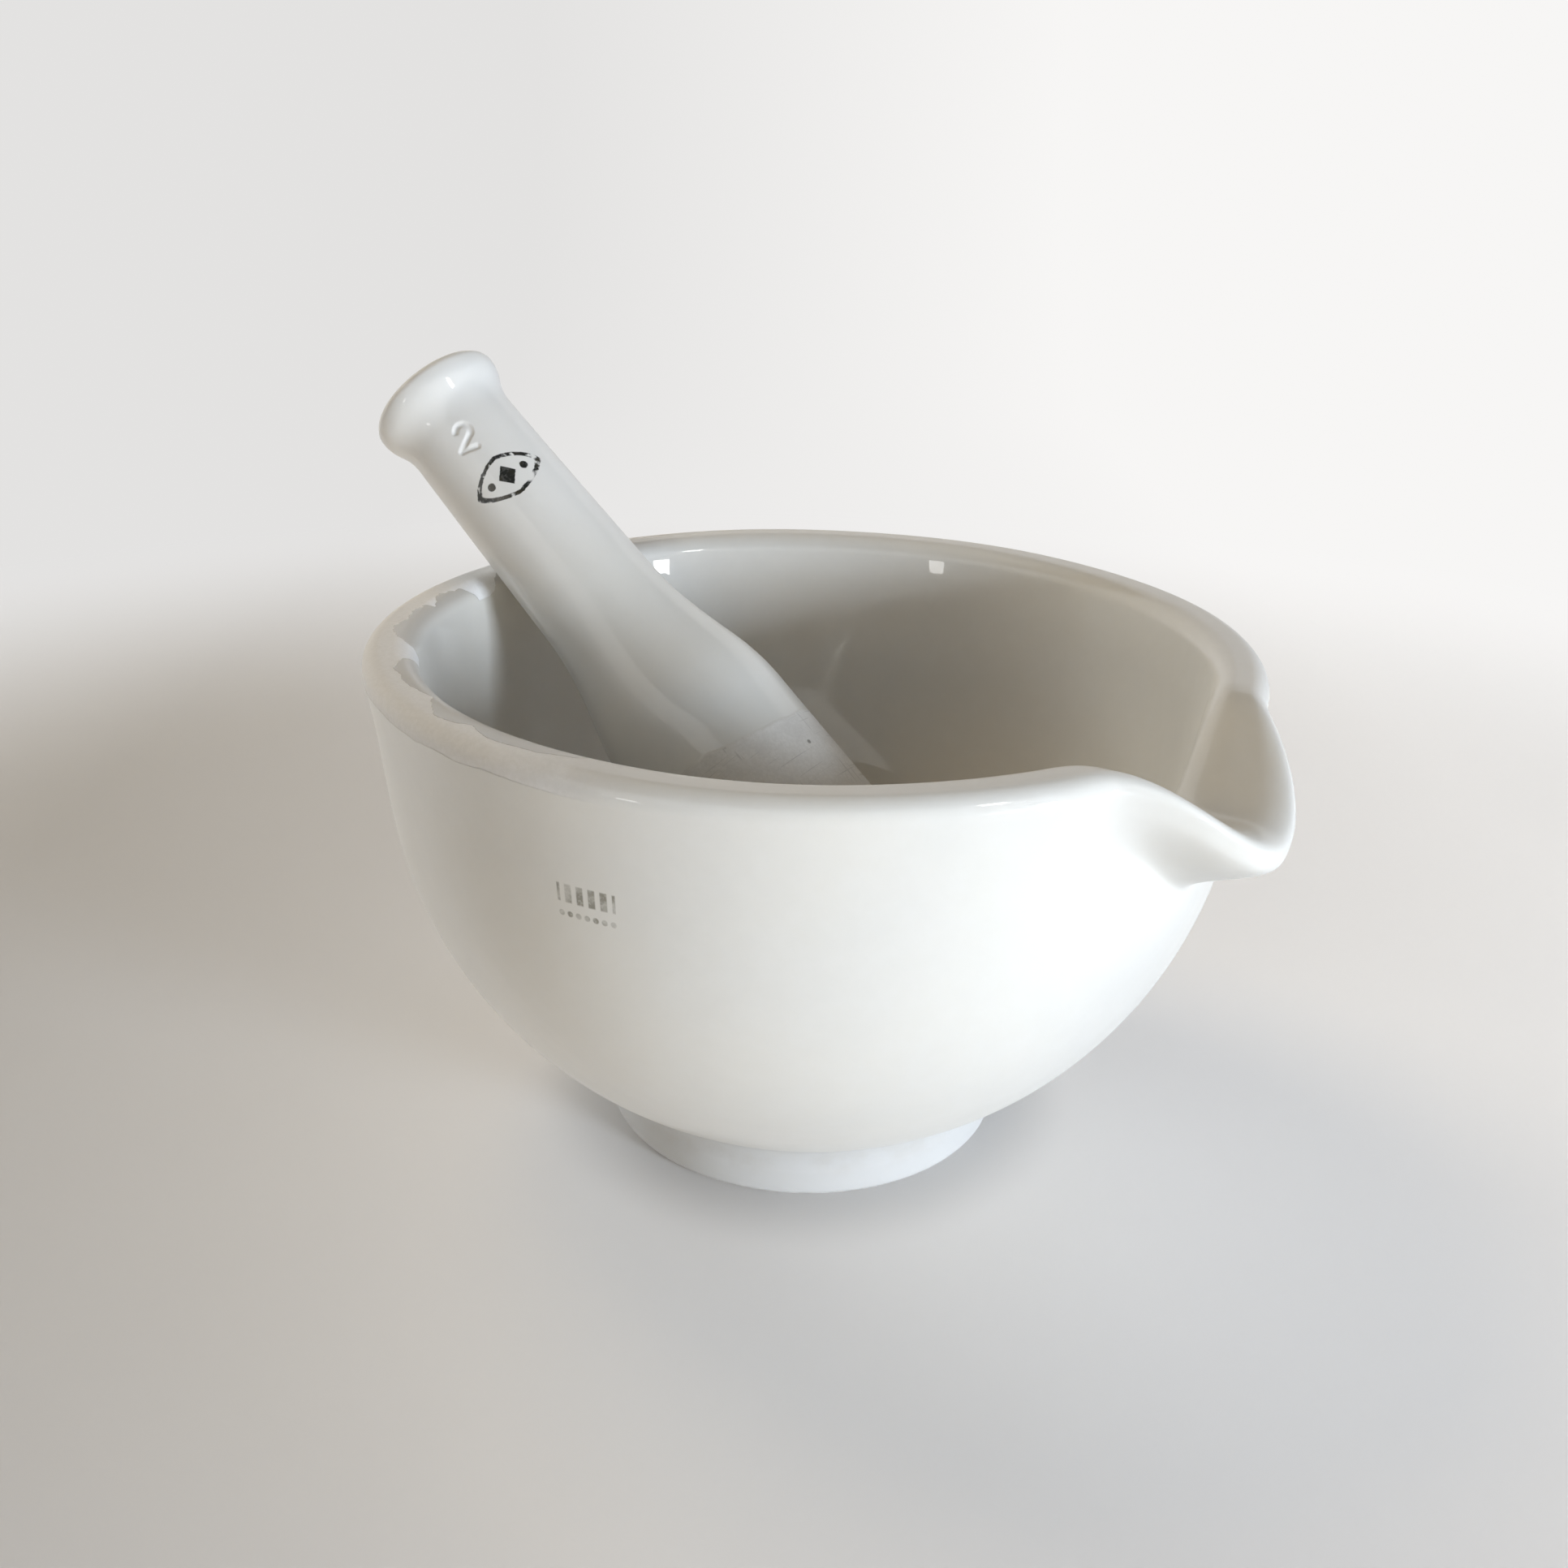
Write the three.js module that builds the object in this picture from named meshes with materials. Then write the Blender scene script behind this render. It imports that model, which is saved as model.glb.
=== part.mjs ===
// A porcelain mortar with a pouring spout, and the one-piece pestle that leans in it.
//
// Millimetres. The origin is the centre of the foot's flat underside, +Z is up, and +X points out along
// the spout. The pestle's handle lies on the rim opposite the spout and its head stands in the bowl.
import * as THREE from "three";

// Mortar: an upright bowl, spherical inside and out, whose wall leans outwards a little below its flat rim.
const MORTAR_HEIGHT = 90;
const RIM_RADIUS = 75;
const BOWL_RADIUS = 63.4;
const BASE_THICKNESS = 13.5; // under the bowl's lowest point
const WALL_CENTRE_Z = 72.3; // of the wall's outer sphere
const FLARE = 2.6; // the wall leans outwards by this much at the rim
const FLARE_BOTTOM_Z = 61;
const FLARE_TOP_Z = 87;
const RIM_INNER_EDGE = 4; // rounding radii of the rim
const RIM_OUTER_EDGE = 3;
const FOOT_RADIUS = 36;
const FOOT_TAPER = 1.1; // the foot narrows by this much from its standing edge to its top
const FOOT_EDGE = 1;

// Spout: the rim is pressed down into a channel and drawn outwards.
const SPOUT_MOUTH_HALF_WIDTH = 28; // of the channel where it leaves the bowl
const SPOUT_TIP_HALF_WIDTH = 25;
const SPOUT_POINTEDNESS = 1.46; // power of the channel's cosine outline: higher is narrower at the floor
const SPOUT_DEPTH = 13.5; // of the channel below the rim's top
const SPOUT_REACH = 11.4; // of the tip beyond the rim
const SPOUT_REACH_HALF_WIDTH = 24.2; // of the drawn-out part of the rim
const SPOUT_LIP_RISE = 0.16; // the share of that depth by which the tip stands above the channel's floor
const SPOUT_LIP_THICKNESS = 5;
const SPOUT_PULL = 38; // height of wall that the channel's depth is taken from
const SPOUT_UNDERSIDE = 8; // height over which the spout's underside runs back to the wall

// Pestle, measured from the end of its handle.
const PESTLE_LENGTH = 150.5;
const FLANGE_RADIUS = 12.9;
const FLANGE_EDGE = 3;
const FLANGE_DOME = 0.6;
const NECK_AT = 11.5;
const NECK_RADIUS = 10.8;
const GRIP_END_AT = 53;
const GRIP_END_RADIUS = 12;
const HEAD_AT = 80;
const HEAD_TOP_RADIUS = 17.3;
const HEAD_END_RADIUS = 17.8;

// How the pestle stands.
const PESTLE_SLOPE = 41; // degrees up from level
const PESTLE_SWING = 8.9; // degrees from the spout to the side the head points at
const CLEARANCE = 0.35; // from the pestle to the rim and to the bowl

// How finely round shapes are cut.
const SPOUT_SECTOR = 30; // degrees each side of the spout that get the fine steps
const SPOUT_STEPS = 24;
const BACK_STEPS = 56;
const PESTLE_SEGMENTS = 48;

const BOWL_CENTRE_Z = BASE_THICKNESS + BOWL_RADIUS;
const LIP_Z = MORTAR_HEIGHT - SPOUT_LIP_THICKNESS;

// The rim's rounded edges: each arc starts where the wall has the flare's full lean.
const LEAN = Math.atan((2 * FLARE) / (FLARE_TOP_Z - FLARE_BOTTOM_Z));
const INNER_EDGE_Z = MORTAR_HEIGHT - RIM_INNER_EDGE;
const OUTER_EDGE_Z = MORTAR_HEIGHT - RIM_OUTER_EDGE;
const BOWL_TOP_Z = INNER_EDGE_Z + RIM_INNER_EDGE * Math.sin(LEAN);
const BOWL_TOP_RADIUS = BOWL_RADIUS + flare(BOWL_TOP_Z);
const INNER_EDGE_R = BOWL_TOP_RADIUS + RIM_INNER_EDGE * Math.cos(LEAN);
const OUTER_EDGE_R = RIM_RADIUS - RIM_OUTER_EDGE;
const WALL_TOP_Z = OUTER_EDGE_Z - RIM_OUTER_EDGE * Math.sin(LEAN);
const WALL_RADIUS = OUTER_EDGE_R + RIM_OUTER_EDGE * Math.cos(LEAN) - flare(WALL_TOP_Z);

// How far the wall leans outwards at this height.
function flare(z) {
  const share = Math.max(0, (z - FLARE_BOTTOM_Z) / (FLARE_TOP_Z - FLARE_BOTTOM_Z));
  return FLARE * share ** 2;
}

// A smooth step from 0 at low to 1 at high.
function ease(value, low, high) {
  return THREE.MathUtils.smoothstep(value, low, high);
}

// Points (radius, height) round a circle in the profile plane, angles in degrees from the +radius side.
function arc(centreR, centreZ, radius, from, to, steps) {
  const points = [];
  for (let i = 0; i <= steps; i++) {
    const angle = THREE.MathUtils.degToRad(from + ((to - from) * i) / steps);
    const r = centreR + radius * Math.cos(angle);
    points.push(new THREE.Vector2(r, centreZ + radius * Math.sin(angle)));
  }
  return points;
}

function bezier(start, startPull, endPull, end, steps) {
  const corners = [start, startPull, endPull, end].map(([r, z]) => new THREE.Vector2(r, z));
  return new THREE.CubicBezierCurve(...corners).getPoints(steps);
}

// A sphere's section with the flare added, as points from one height to another.
function flared(centreZ, radius, from, to, steps) {
  const points = [];
  for (let i = 0; i <= steps; i++) {
    const z = from + ((to - from) * i) / steps;
    const r = z < centreZ ? Math.sqrt(radius ** 2 - (centreZ - z) ** 2) : radius;
    points.push(new THREE.Vector2(r + flare(z), z));
  }
  return points;
}

// Inside of the bowl from its lowest point to the rim.
function bowlInside() {
  const dishTop = BOWL_CENTRE_Z - BOWL_RADIUS * Math.sin(THREE.MathUtils.degToRad(18));
  return [
    ...arc(0, BOWL_CENTRE_Z, BOWL_RADIUS, -90, -18, 12).slice(1, -1),
    ...flared(BOWL_CENTRE_Z, BOWL_RADIUS, dishTop, BOWL_TOP_Z, 7),
  ];
}

// Over the rim, from the bowl to the outside.
function rimTop() {
  const lean = THREE.MathUtils.radToDeg(LEAN);
  return [
    ...arc(INNER_EDGE_R, INNER_EDGE_Z, RIM_INNER_EDGE, 180 - lean, 90, 5).slice(1),
    ...arc(OUTER_EDGE_R, OUTER_EDGE_Z, RIM_OUTER_EDGE, 90, -lean, 6),
  ];
}

// Down the outside, from the rim to the top of the foot.
function wallOutside() {
  const lipFootZ = LIP_Z - SPOUT_UNDERSIDE;
  const turnAngle = THREE.MathUtils.radToDeg(Math.asin((WALL_CENTRE_Z - FLARE_BOTTOM_Z) / WALL_RADIUS));
  const footAngle = THREE.MathUtils.radToDeg(Math.acos((FOOT_RADIUS + 4) / WALL_RADIUS));
  return [
    ...flared(WALL_CENTRE_Z, WALL_RADIUS, LIP_Z, lipFootZ, 5),
    ...flared(WALL_CENTRE_Z, WALL_RADIUS, lipFootZ, FLARE_BOTTOM_Z, 4).slice(1),
    ...arc(0, WALL_CENTRE_Z, WALL_RADIUS, -turnAngle, -footAngle, 10).slice(1),
  ];
}

// The foot, from its fillet under the bowl to the centre of its underside.
function foot() {
  const topR = FOOT_RADIUS - FOOT_TAPER;
  const joinR = FOOT_RADIUS + 4;
  const joinZ = WALL_CENTRE_Z - Math.sqrt(WALL_RADIUS ** 2 - joinR ** 2);
  const cornerZ = WALL_CENTRE_Z - Math.sqrt(WALL_RADIUS ** 2 - topR ** 2);
  const fillet = bezier([joinR, joinZ], [topR + 2, cornerZ + 1], [topR, cornerZ], [topR, joinZ / 2 - 1], 4);
  return [
    ...fillet.slice(1),
    ...arc(FOOT_RADIUS - FOOT_EDGE, FOOT_EDGE, FOOT_EDGE, 0, -90, 2),
    new THREE.Vector2(FOOT_RADIUS / 2, 0),
    new THREE.Vector2(0, 0),
  ];
}

// How much of the channel's depth is left at this distance from the spout's centre plane, for a point this
// share of the way from the bowl's side of the rim to the spout's tip.
function trough(across, out) {
  const halfWidth = THREE.MathUtils.lerp(SPOUT_MOUTH_HALF_WIDTH, SPOUT_TIP_HALF_WIDTH, out);
  const turn = Math.PI * Math.min(Math.abs(across) / halfWidth, 1);
  return ((1 + Math.cos(turn)) / 2) ** SPOUT_POINTEDNESS;
}

// How much of the spout's reach is left at this distance from its centre plane.
function reachShare(across) {
  return Math.max(0, 1 - (across / SPOUT_REACH_HALF_WIDTH) ** 2) ** 2;
}

// Moves one profile point, turned to an azimuth, to its place on the mortar with its spout.
function withSpout(point, part, azimuth) {
  let r = point.x;
  let z = point.y;
  const across = r * Math.sin(azimuth);
  if (Math.cos(azimuth) > 0) {
    const reach = SPOUT_REACH * reachShare(across);
    if (part === "bowl") {
      z -= SPOUT_DEPTH * trough(across, 0) * ease(z, MORTAR_HEIGHT - SPOUT_PULL, MORTAR_HEIGHT);
    } else if (part === "rim") {
      const out = (r - BOWL_TOP_RADIUS) / (RIM_RADIUS - BOWL_TOP_RADIUS);
      z -= SPOUT_DEPTH * trough(across, out) * (1 - SPOUT_LIP_RISE * out);
      r += reach * out;
    } else {
      const lipDrop = SPOUT_DEPTH * trough(across, 1) * (1 - SPOUT_LIP_RISE);
      const lipZ = LIP_Z - lipDrop;
      z -= lipDrop * ease(z, LIP_Z - SPOUT_PULL, LIP_Z);
      r += reach * ease(z, lipZ - SPOUT_UNDERSIDE, lipZ);
    }
  }
  return new THREE.Vector3(r * Math.cos(azimuth), r * Math.sin(azimuth), z);
}

// Azimuths round the mortar in radians, finer near the spout.
function azimuths() {
  const list = [];
  for (let i = 0; i < SPOUT_STEPS; i++) {
    list.push(-SPOUT_SECTOR + (2 * SPOUT_SECTOR * i) / SPOUT_STEPS);
  }
  for (let i = 0; i < BACK_STEPS; i++) {
    list.push(SPOUT_SECTOR + ((360 - 2 * SPOUT_SECTOR) * i) / BACK_STEPS);
  }
  return list.map((angle) => THREE.MathUtils.degToRad(angle));
}

// A closed skin through rings of points. The first and last rings are single points on the axis.
function skin(firstPole, rings, lastPole) {
  const count = rings[0].length;
  const vertices = [firstPole, ...rings.flat(), lastPole];
  const last = vertices.length - 1;
  const faces = [];
  for (let i = 0; i < count; i++) {
    const next = (i + 1) % count;
    faces.push(0, 1 + i, 1 + next);
    for (let ring = 0; ring < rings.length - 1; ring++) {
      const a = 1 + ring * count;
      const b = a + count;
      faces.push(a + i, b + i, b + next);
      faces.push(a + i, b + next, a + next);
    }
    const end = 1 + (rings.length - 1) * count;
    faces.push(end + i, last, end + next);
  }
  const geometry = new THREE.BufferGeometry();
  geometry.setFromPoints(vertices);
  geometry.setIndex(faces);
  geometry.computeVertexNormals();
  return geometry;
}

function mortarGeometry() {
  const parts = [
    ["bowl", bowlInside()],
    ["rim", rimTop()],
    ["wall", wallOutside()],
    ["foot", foot().slice(0, -1)],
  ];
  const around = azimuths();
  const rings = [];
  for (const [part, points] of parts) {
    for (const point of points) {
      rings.push(around.map((azimuth) => withSpout(point, part, azimuth)));
    }
  }
  return skin(new THREE.Vector3(0, 0, BASE_THICKNESS), rings, new THREE.Vector3(0, 0, 0));
}

// The pestle's outline as (radius, distance from the head's tip), from the tip to the handle's end.
function pestleOutline() {
  const fromEnd = [
    new THREE.Vector2(0, 0),
    ...arc(FLANGE_RADIUS - FLANGE_EDGE, FLANGE_EDGE, FLANGE_EDGE, -90, 0, 4),
    ...bezier([FLANGE_RADIUS, 3.8], [FLANGE_RADIUS, 6.9], [NECK_RADIUS, 7.9], [NECK_RADIUS, NECK_AT], 6),
    new THREE.Vector2((NECK_RADIUS + GRIP_END_RADIUS) / 2, (NECK_AT + GRIP_END_AT) / 2),
    ...bezier([GRIP_END_RADIUS, GRIP_END_AT], [12.4, 64], [16.3, 74], [HEAD_TOP_RADIUS, HEAD_AT], 9),
    ...arc(0, PESTLE_LENGTH - HEAD_END_RADIUS, HEAD_END_RADIUS, 0, 90, 12),
  ];
  for (const point of fromEnd.slice(1, 3)) {
    point.y += FLANGE_DOME * (1 - point.y / FLANGE_EDGE);
  }
  fromEnd.at(-1).x = 0;
  return fromEnd.map((point) => new THREE.Vector2(point.x, PESTLE_LENGTH - point.y)).reverse();
}

// Radius of the handle's straight part, this far from the head's tip.
function handleRadius(fromTip) {
  const share = (PESTLE_LENGTH - fromTip - NECK_AT) / (GRIP_END_AT - NECK_AT);
  return NECK_RADIUS + share * (GRIP_END_RADIUS - NECK_RADIUS);
}

// Where the head's tip is, as (distance towards the head's side, height), when the handle clears the rim's
// inner edge and the head's round end clears the bowl by the clearance.
function pestleTip() {
  const slope = THREE.MathUtils.degToRad(PESTLE_SLOPE);
  const up = new THREE.Vector2(-Math.cos(slope), Math.sin(slope));
  const above = new THREE.Vector2(Math.sin(slope), Math.cos(slope));
  const edge = new THREE.Vector2(-INNER_EDGE_R, INNER_EDGE_Z);
  const bowlCentre = new THREE.Vector2(0, BOWL_CENTRE_Z);
  const headOrbit = BOWL_RADIUS - HEAD_END_RADIUS - CLEARANCE;
  let radius = NECK_RADIUS;
  let crossing;
  let along;
  for (let pass = 0; pass < 5; pass++) {
    crossing = edge.clone().addScaledVector(above, RIM_INNER_EDGE + CLEARANCE + radius);
    const offset = crossing.clone().sub(bowlCentre);
    const half = offset.dot(up);
    along = half + Math.sqrt(half ** 2 - offset.lengthSq() + headOrbit ** 2);
    radius = handleRadius(along + HEAD_END_RADIUS);
  }
  return crossing.addScaledVector(up, -along - HEAD_END_RADIUS);
}

function porcelain(colour, roughness) {
  return new THREE.MeshStandardMaterial({ color: colour, roughness, metalness: 0 });
}

function mortar() {
  const mesh = new THREE.Mesh(mortarGeometry(), porcelain(0xeae8e2, 0.15));
  mesh.name = "mortar";
  return mesh;
}

function pestle() {
  const geometry = new THREE.LatheGeometry(pestleOutline(), PESTLE_SEGMENTS);
  const mesh = new THREE.Mesh(geometry, porcelain(0xe2dfd8, 0.2));
  mesh.name = "pestle";
  const tip = pestleTip();
  mesh.position.set(tip.x, 0, tip.y);
  // The lathe's axis is +Y. It leans over away from the spout's side, then stands up to +Z.
  mesh.rotation.set(Math.PI / 2, 0, THREE.MathUtils.degToRad(90 - PESTLE_SLOPE), "XZY");
  return mesh;
}

const set = new THREE.Group();
set.name = "mortar_and_pestle";
const lean = new THREE.Group();
lean.rotation.z = THREE.MathUtils.degToRad(PESTLE_SWING);
lean.add(pestle());
set.add(mortar(), lean);

export default set;
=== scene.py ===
"""A porcelain mortar with a pouring spout and its pestle: fine meshes, glaze, wear and printed marks.

Dimensions are in millimetres and are turned to metres when a mesh is made. The origin is the centre of the
foot's underside, +Z is up, and +X points out along the spout.
"""

import math

import bpy
import numpy as np
from mathutils import Matrix, Vector


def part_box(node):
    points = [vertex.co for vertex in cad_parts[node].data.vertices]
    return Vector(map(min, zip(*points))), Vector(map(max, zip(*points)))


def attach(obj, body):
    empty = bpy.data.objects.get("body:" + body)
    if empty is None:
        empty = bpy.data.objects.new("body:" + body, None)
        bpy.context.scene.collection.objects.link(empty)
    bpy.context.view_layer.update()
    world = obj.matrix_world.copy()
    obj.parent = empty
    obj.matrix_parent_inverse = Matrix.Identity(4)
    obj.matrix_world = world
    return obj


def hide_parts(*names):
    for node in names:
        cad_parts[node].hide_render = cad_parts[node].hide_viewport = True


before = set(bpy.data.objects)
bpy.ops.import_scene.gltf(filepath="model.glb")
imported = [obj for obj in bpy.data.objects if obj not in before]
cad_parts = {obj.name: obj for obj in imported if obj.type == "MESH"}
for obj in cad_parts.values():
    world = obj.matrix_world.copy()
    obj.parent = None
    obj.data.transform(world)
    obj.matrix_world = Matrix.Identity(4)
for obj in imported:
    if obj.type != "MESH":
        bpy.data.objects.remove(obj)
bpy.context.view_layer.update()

MM = 0.001
mortar_low, mortar_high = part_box("mortar")
pestle_low, pestle_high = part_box("pestle")

# Mortar
MORTAR_HEIGHT = mortar_high.z / MM
RIM_RADIUS = -mortar_low.x / MM
BOWL_RADIUS = 63.4
BOWL_DISH_TOP = 18  # degrees below the sphere's middle
BASE_THICKNESS = 13.5
WALL_CENTRE_Z = 72.3
FLARE = 2.6
FLARE_BOTTOM_Z = 61.0
FLARE_TOP_Z = 87.0
RIM_INNER_EDGE = 4.0
RIM_OUTER_EDGE = 3.0
FOOT_RADIUS = 36.0
FOOT_TAPER = 1.1
FOOT_EDGE = 1.0
FOOT_JOIN = 4.0
SPOUT_LIP_THICKNESS = 5.0
BOWL_CENTRE_Z = BASE_THICKNESS + BOWL_RADIUS
LIP_Z = MORTAR_HEIGHT - SPOUT_LIP_THICKNESS

# Spout
SPOUT_MOUTH_HALF_WIDTH = 28.0
SPOUT_TIP_HALF_WIDTH = 25.0
SPOUT_POINTEDNESS = 1.46
SPOUT_DEPTH = 13.5
SPOUT_REACH = 11.4
SPOUT_REACH_HALF_WIDTH = 24.2
SPOUT_LIP_RISE = 0.16
SPOUT_PULL = 38.0
SPOUT_UNDERSIDE = 8.0

# Pestle, measured from the end of its handle
PESTLE_LENGTH = 150.5
FLANGE_RADIUS = 12.9
FLANGE_EDGE = 2.8
FLANGE_DOME = 0.6
NECK_AT = 11.5
NECK_RADIUS = 10.8
GRIP_END_AT = 53.0
GRIP_END_RADIUS = 12.0
HEAD_AT = 80.0
SHOULDER_RADIUS = 16.75
HEAD_TOP_RADIUS = 17.3
HEAD_END_RADIUS = 17.8
PESTLE_SLOPE = math.radians(41)
PESTLE_SWING = math.radians(8.9)

# Marks on the handle, as distances along it and round it (0 round it faces straight up)
DIGIT_AT = 16.0
DIGIT_ACROSS = -9.9
DIGIT_DEPTH = 0.36
DIGIT_SLANT = math.radians(20)
DIGIT_REACH = 4.5
STAMP_AT = 26.6
STAMP_ACROSS = -8.5


# ---------------------------------------------------------------- shapes

def ease(value, low, high):
    """A smooth step from 0 at low to 1 at high."""
    t = np.clip((value - low) / (high - low), 0, 1)
    return t * t * (3 - 2 * t)


def arc(centre_r, centre_z, radius, start, end, steps):
    """Points (radius, height) on a circle, angles in degrees."""
    angle = np.radians(np.linspace(start, end, steps + 1))
    return np.stack([centre_r + radius * np.cos(angle), centre_z + radius * np.sin(angle)], 1)


def bezier(a, b, c, d, steps):
    """Points on a cubic curve from a to d that leaves towards b and arrives from c."""
    t = np.linspace(0, 1, steps + 1)[:, None]
    a, b, c, d = (np.array(p, float) for p in (a, b, c, d))
    return (1 - t) ** 3 * a + 3 * (1 - t) ** 2 * t * b + 3 * (1 - t) * t**2 * c + t**3 * d


def line(a, b, steps):
    """Points from a to b, without b."""
    t = np.linspace(0, 1, steps, endpoint=False)[:, None]
    return (1 - t) * np.array(a, float) + t * np.array(b, float)


def flare(z):
    """How far the wall leans outwards at this height."""
    return FLARE * np.maximum(0, (z - FLARE_BOTTOM_Z) / (FLARE_TOP_Z - FLARE_BOTTOM_Z)) ** 2


# The rim's rounded edges: each arc starts where the wall has the flare's full lean.
LEAN = math.atan(2 * FLARE / (FLARE_TOP_Z - FLARE_BOTTOM_Z))
INNER_EDGE_Z = MORTAR_HEIGHT - RIM_INNER_EDGE
OUTER_EDGE_Z = MORTAR_HEIGHT - RIM_OUTER_EDGE
BOWL_TOP_Z = INNER_EDGE_Z + RIM_INNER_EDGE * math.sin(LEAN)
BOWL_TOP_RADIUS = BOWL_RADIUS + flare(BOWL_TOP_Z)
INNER_EDGE_R = BOWL_TOP_RADIUS + RIM_INNER_EDGE * math.cos(LEAN)
OUTER_EDGE_R = RIM_RADIUS - RIM_OUTER_EDGE
WALL_TOP_Z = OUTER_EDGE_Z - RIM_OUTER_EDGE * math.sin(LEAN)
WALL_RADIUS = OUTER_EDGE_R + RIM_OUTER_EDGE * math.cos(LEAN) - flare(WALL_TOP_Z)


def flared(centre_z, radius, start, end, steps):
    """A sphere's section with the flare added, from one height to another."""
    z = np.linspace(start, end, steps + 1)
    r = np.sqrt(radius**2 - np.maximum(centre_z - z, 0) ** 2)
    return np.stack([r + flare(z), z], 1)


def mortar_profile():
    """The (part, points) of the mortar's section, from the bowl's lowest point to the centre underneath."""
    dish_top_z = BOWL_CENTRE_Z - BOWL_RADIUS * math.sin(math.radians(BOWL_DISH_TOP))
    bowl = np.concatenate([
        arc(0, BOWL_CENTRE_Z, BOWL_RADIUS, -90, -BOWL_DISH_TOP, 48)[1:-1],
        flared(BOWL_CENTRE_Z, BOWL_RADIUS, dish_top_z, BOWL_TOP_Z, 36),
    ])
    lean = math.degrees(LEAN)
    rim = np.concatenate([
        arc(INNER_EDGE_R, INNER_EDGE_Z, RIM_INNER_EDGE, 180 - lean, 90, 16)[1:-1],
        line([INNER_EDGE_R, MORTAR_HEIGHT], [OUTER_EDGE_R, MORTAR_HEIGHT], 4),
        arc(OUTER_EDGE_R, OUTER_EDGE_Z, RIM_OUTER_EDGE, 90, -lean, 14),
    ])
    join_r = FOOT_RADIUS + FOOT_JOIN
    arc_start = -math.degrees(math.asin((WALL_CENTRE_Z - FLARE_BOTTOM_Z) / WALL_RADIUS))
    arc_end = -math.degrees(math.acos(join_r / WALL_RADIUS))
    wall = np.concatenate([
        flared(WALL_CENTRE_Z, WALL_RADIUS, WALL_TOP_Z, FLARE_BOTTOM_Z, 44)[1:],
        arc(0, WALL_CENTRE_Z, WALL_RADIUS, arc_start, arc_end, 44)[1:],
    ])
    top_r = FOOT_RADIUS - FOOT_TAPER
    join_z = WALL_CENTRE_Z - math.sqrt(WALL_RADIUS**2 - join_r**2)
    corner_z = WALL_CENTRE_Z - math.sqrt(WALL_RADIUS**2 - top_r**2)
    side_top = [top_r, join_z / 2 - 1]
    foot = np.concatenate([
        bezier([join_r, join_z], [top_r + 2, corner_z + 1], [top_r, corner_z], side_top, 14)[1:-1],
        line(side_top, [FOOT_RADIUS, FOOT_EDGE], 6),
        arc(FOOT_RADIUS - FOOT_EDGE, FOOT_EDGE, FOOT_EDGE, 0, -90, 8),
        line([FOOT_RADIUS - FOOT_EDGE, 0], [0, 0], 6)[1:],
    ])
    return [("bowl", bowl), ("rim", rim), ("wall", wall), ("foot", foot)]


def trough(across, out):
    """The share of the channel's depth at this distance from the spout's centre plane."""
    half_width = SPOUT_MOUTH_HALF_WIDTH + out * (SPOUT_TIP_HALF_WIDTH - SPOUT_MOUTH_HALF_WIDTH)
    turn = np.pi * np.minimum(np.abs(across) / half_width, 1)
    return ((1 + np.cos(turn)) / 2) ** SPOUT_POINTEDNESS


def with_spout(r, z, part, azimuth):
    """Radius and height of a section's points after the spout is pressed in, at each azimuth."""
    across = r * np.sin(azimuth)
    front = np.cos(azimuth) > 0
    reach = front * SPOUT_REACH * np.maximum(0, 1 - (across / SPOUT_REACH_HALF_WIDTH) ** 2) ** 2
    if part == "bowl":
        pull = ease(z, MORTAR_HEIGHT - SPOUT_PULL, MORTAR_HEIGHT)
        return r, z - front * SPOUT_DEPTH * trough(across, 0) * pull
    if part == "rim":
        out = (r - BOWL_TOP_RADIUS) / (RIM_RADIUS - BOWL_TOP_RADIUS)
        drop = front * SPOUT_DEPTH * trough(across, out) * (1 - SPOUT_LIP_RISE * out)
        return r + reach * out, z - drop
    lip_drop = front * SPOUT_DEPTH * trough(across, 1) * (1 - SPOUT_LIP_RISE)
    lip_z = LIP_Z - lip_drop
    sunk = z - lip_drop * ease(z, LIP_Z - SPOUT_PULL, LIP_Z)
    return r + reach * ease(sunk, lip_z - SPOUT_UNDERSIDE, lip_z), sunk


def unevenness(azimuth, z):
    """The slight waviness of a hand-finished rim and wall, in millimetres: (outwards, upwards)."""
    high = ease(z, 40, 90)
    outwards = 0.14 * np.sin(2 * azimuth + 0.6) + 0.06 * np.sin(5 * azimuth + 2.1 + z / 17)
    upwards = 0.10 * np.sin(3 * azimuth + 1.3) + 0.05 * np.sin(8 * azimuth + 0.4)
    return high * (outwards - 0.2), high * (upwards - 0.15)


def skin(name, rings, first_pole, last_pole):
    """A closed mesh through rings of points. Rings have shape (rings, points in a ring, 3)."""
    count = rings.shape[1]
    vertices = np.concatenate([[first_pole], rings.reshape(-1, 3), [last_pole]]) * MM
    here = np.arange(count)
    after = np.roll(here, -1)
    faces = [(0, 1 + a, 1 + b) for a, b in zip(here, after)]
    for ring in range(len(rings) - 1):
        low = 1 + ring * count
        high = low + count
        faces += [(low + a, high + a, high + b, low + b) for a, b in zip(here, after)]
    low = 1 + (len(rings) - 1) * count
    last = len(vertices) - 1
    faces += [(low + a, last, low + b) for a, b in zip(here, after)]
    mesh = bpy.data.meshes.new(name)
    mesh.from_pydata([tuple(v) for v in vertices], [], [tuple(int(i) for i in f) for f in faces])
    mesh.update()
    mesh.shade_smooth()
    obj = bpy.data.objects.new(name, mesh)
    bpy.context.scene.collection.objects.link(obj)
    return obj


def remember(obj, name, values):
    """Keeps three numbers at each vertex for the material to read."""
    attribute = obj.data.attributes.new(name, "FLOAT_VECTOR", "POINT")
    attribute.data.foreach_set("vector", np.asarray(values, np.float32).ravel())


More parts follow.
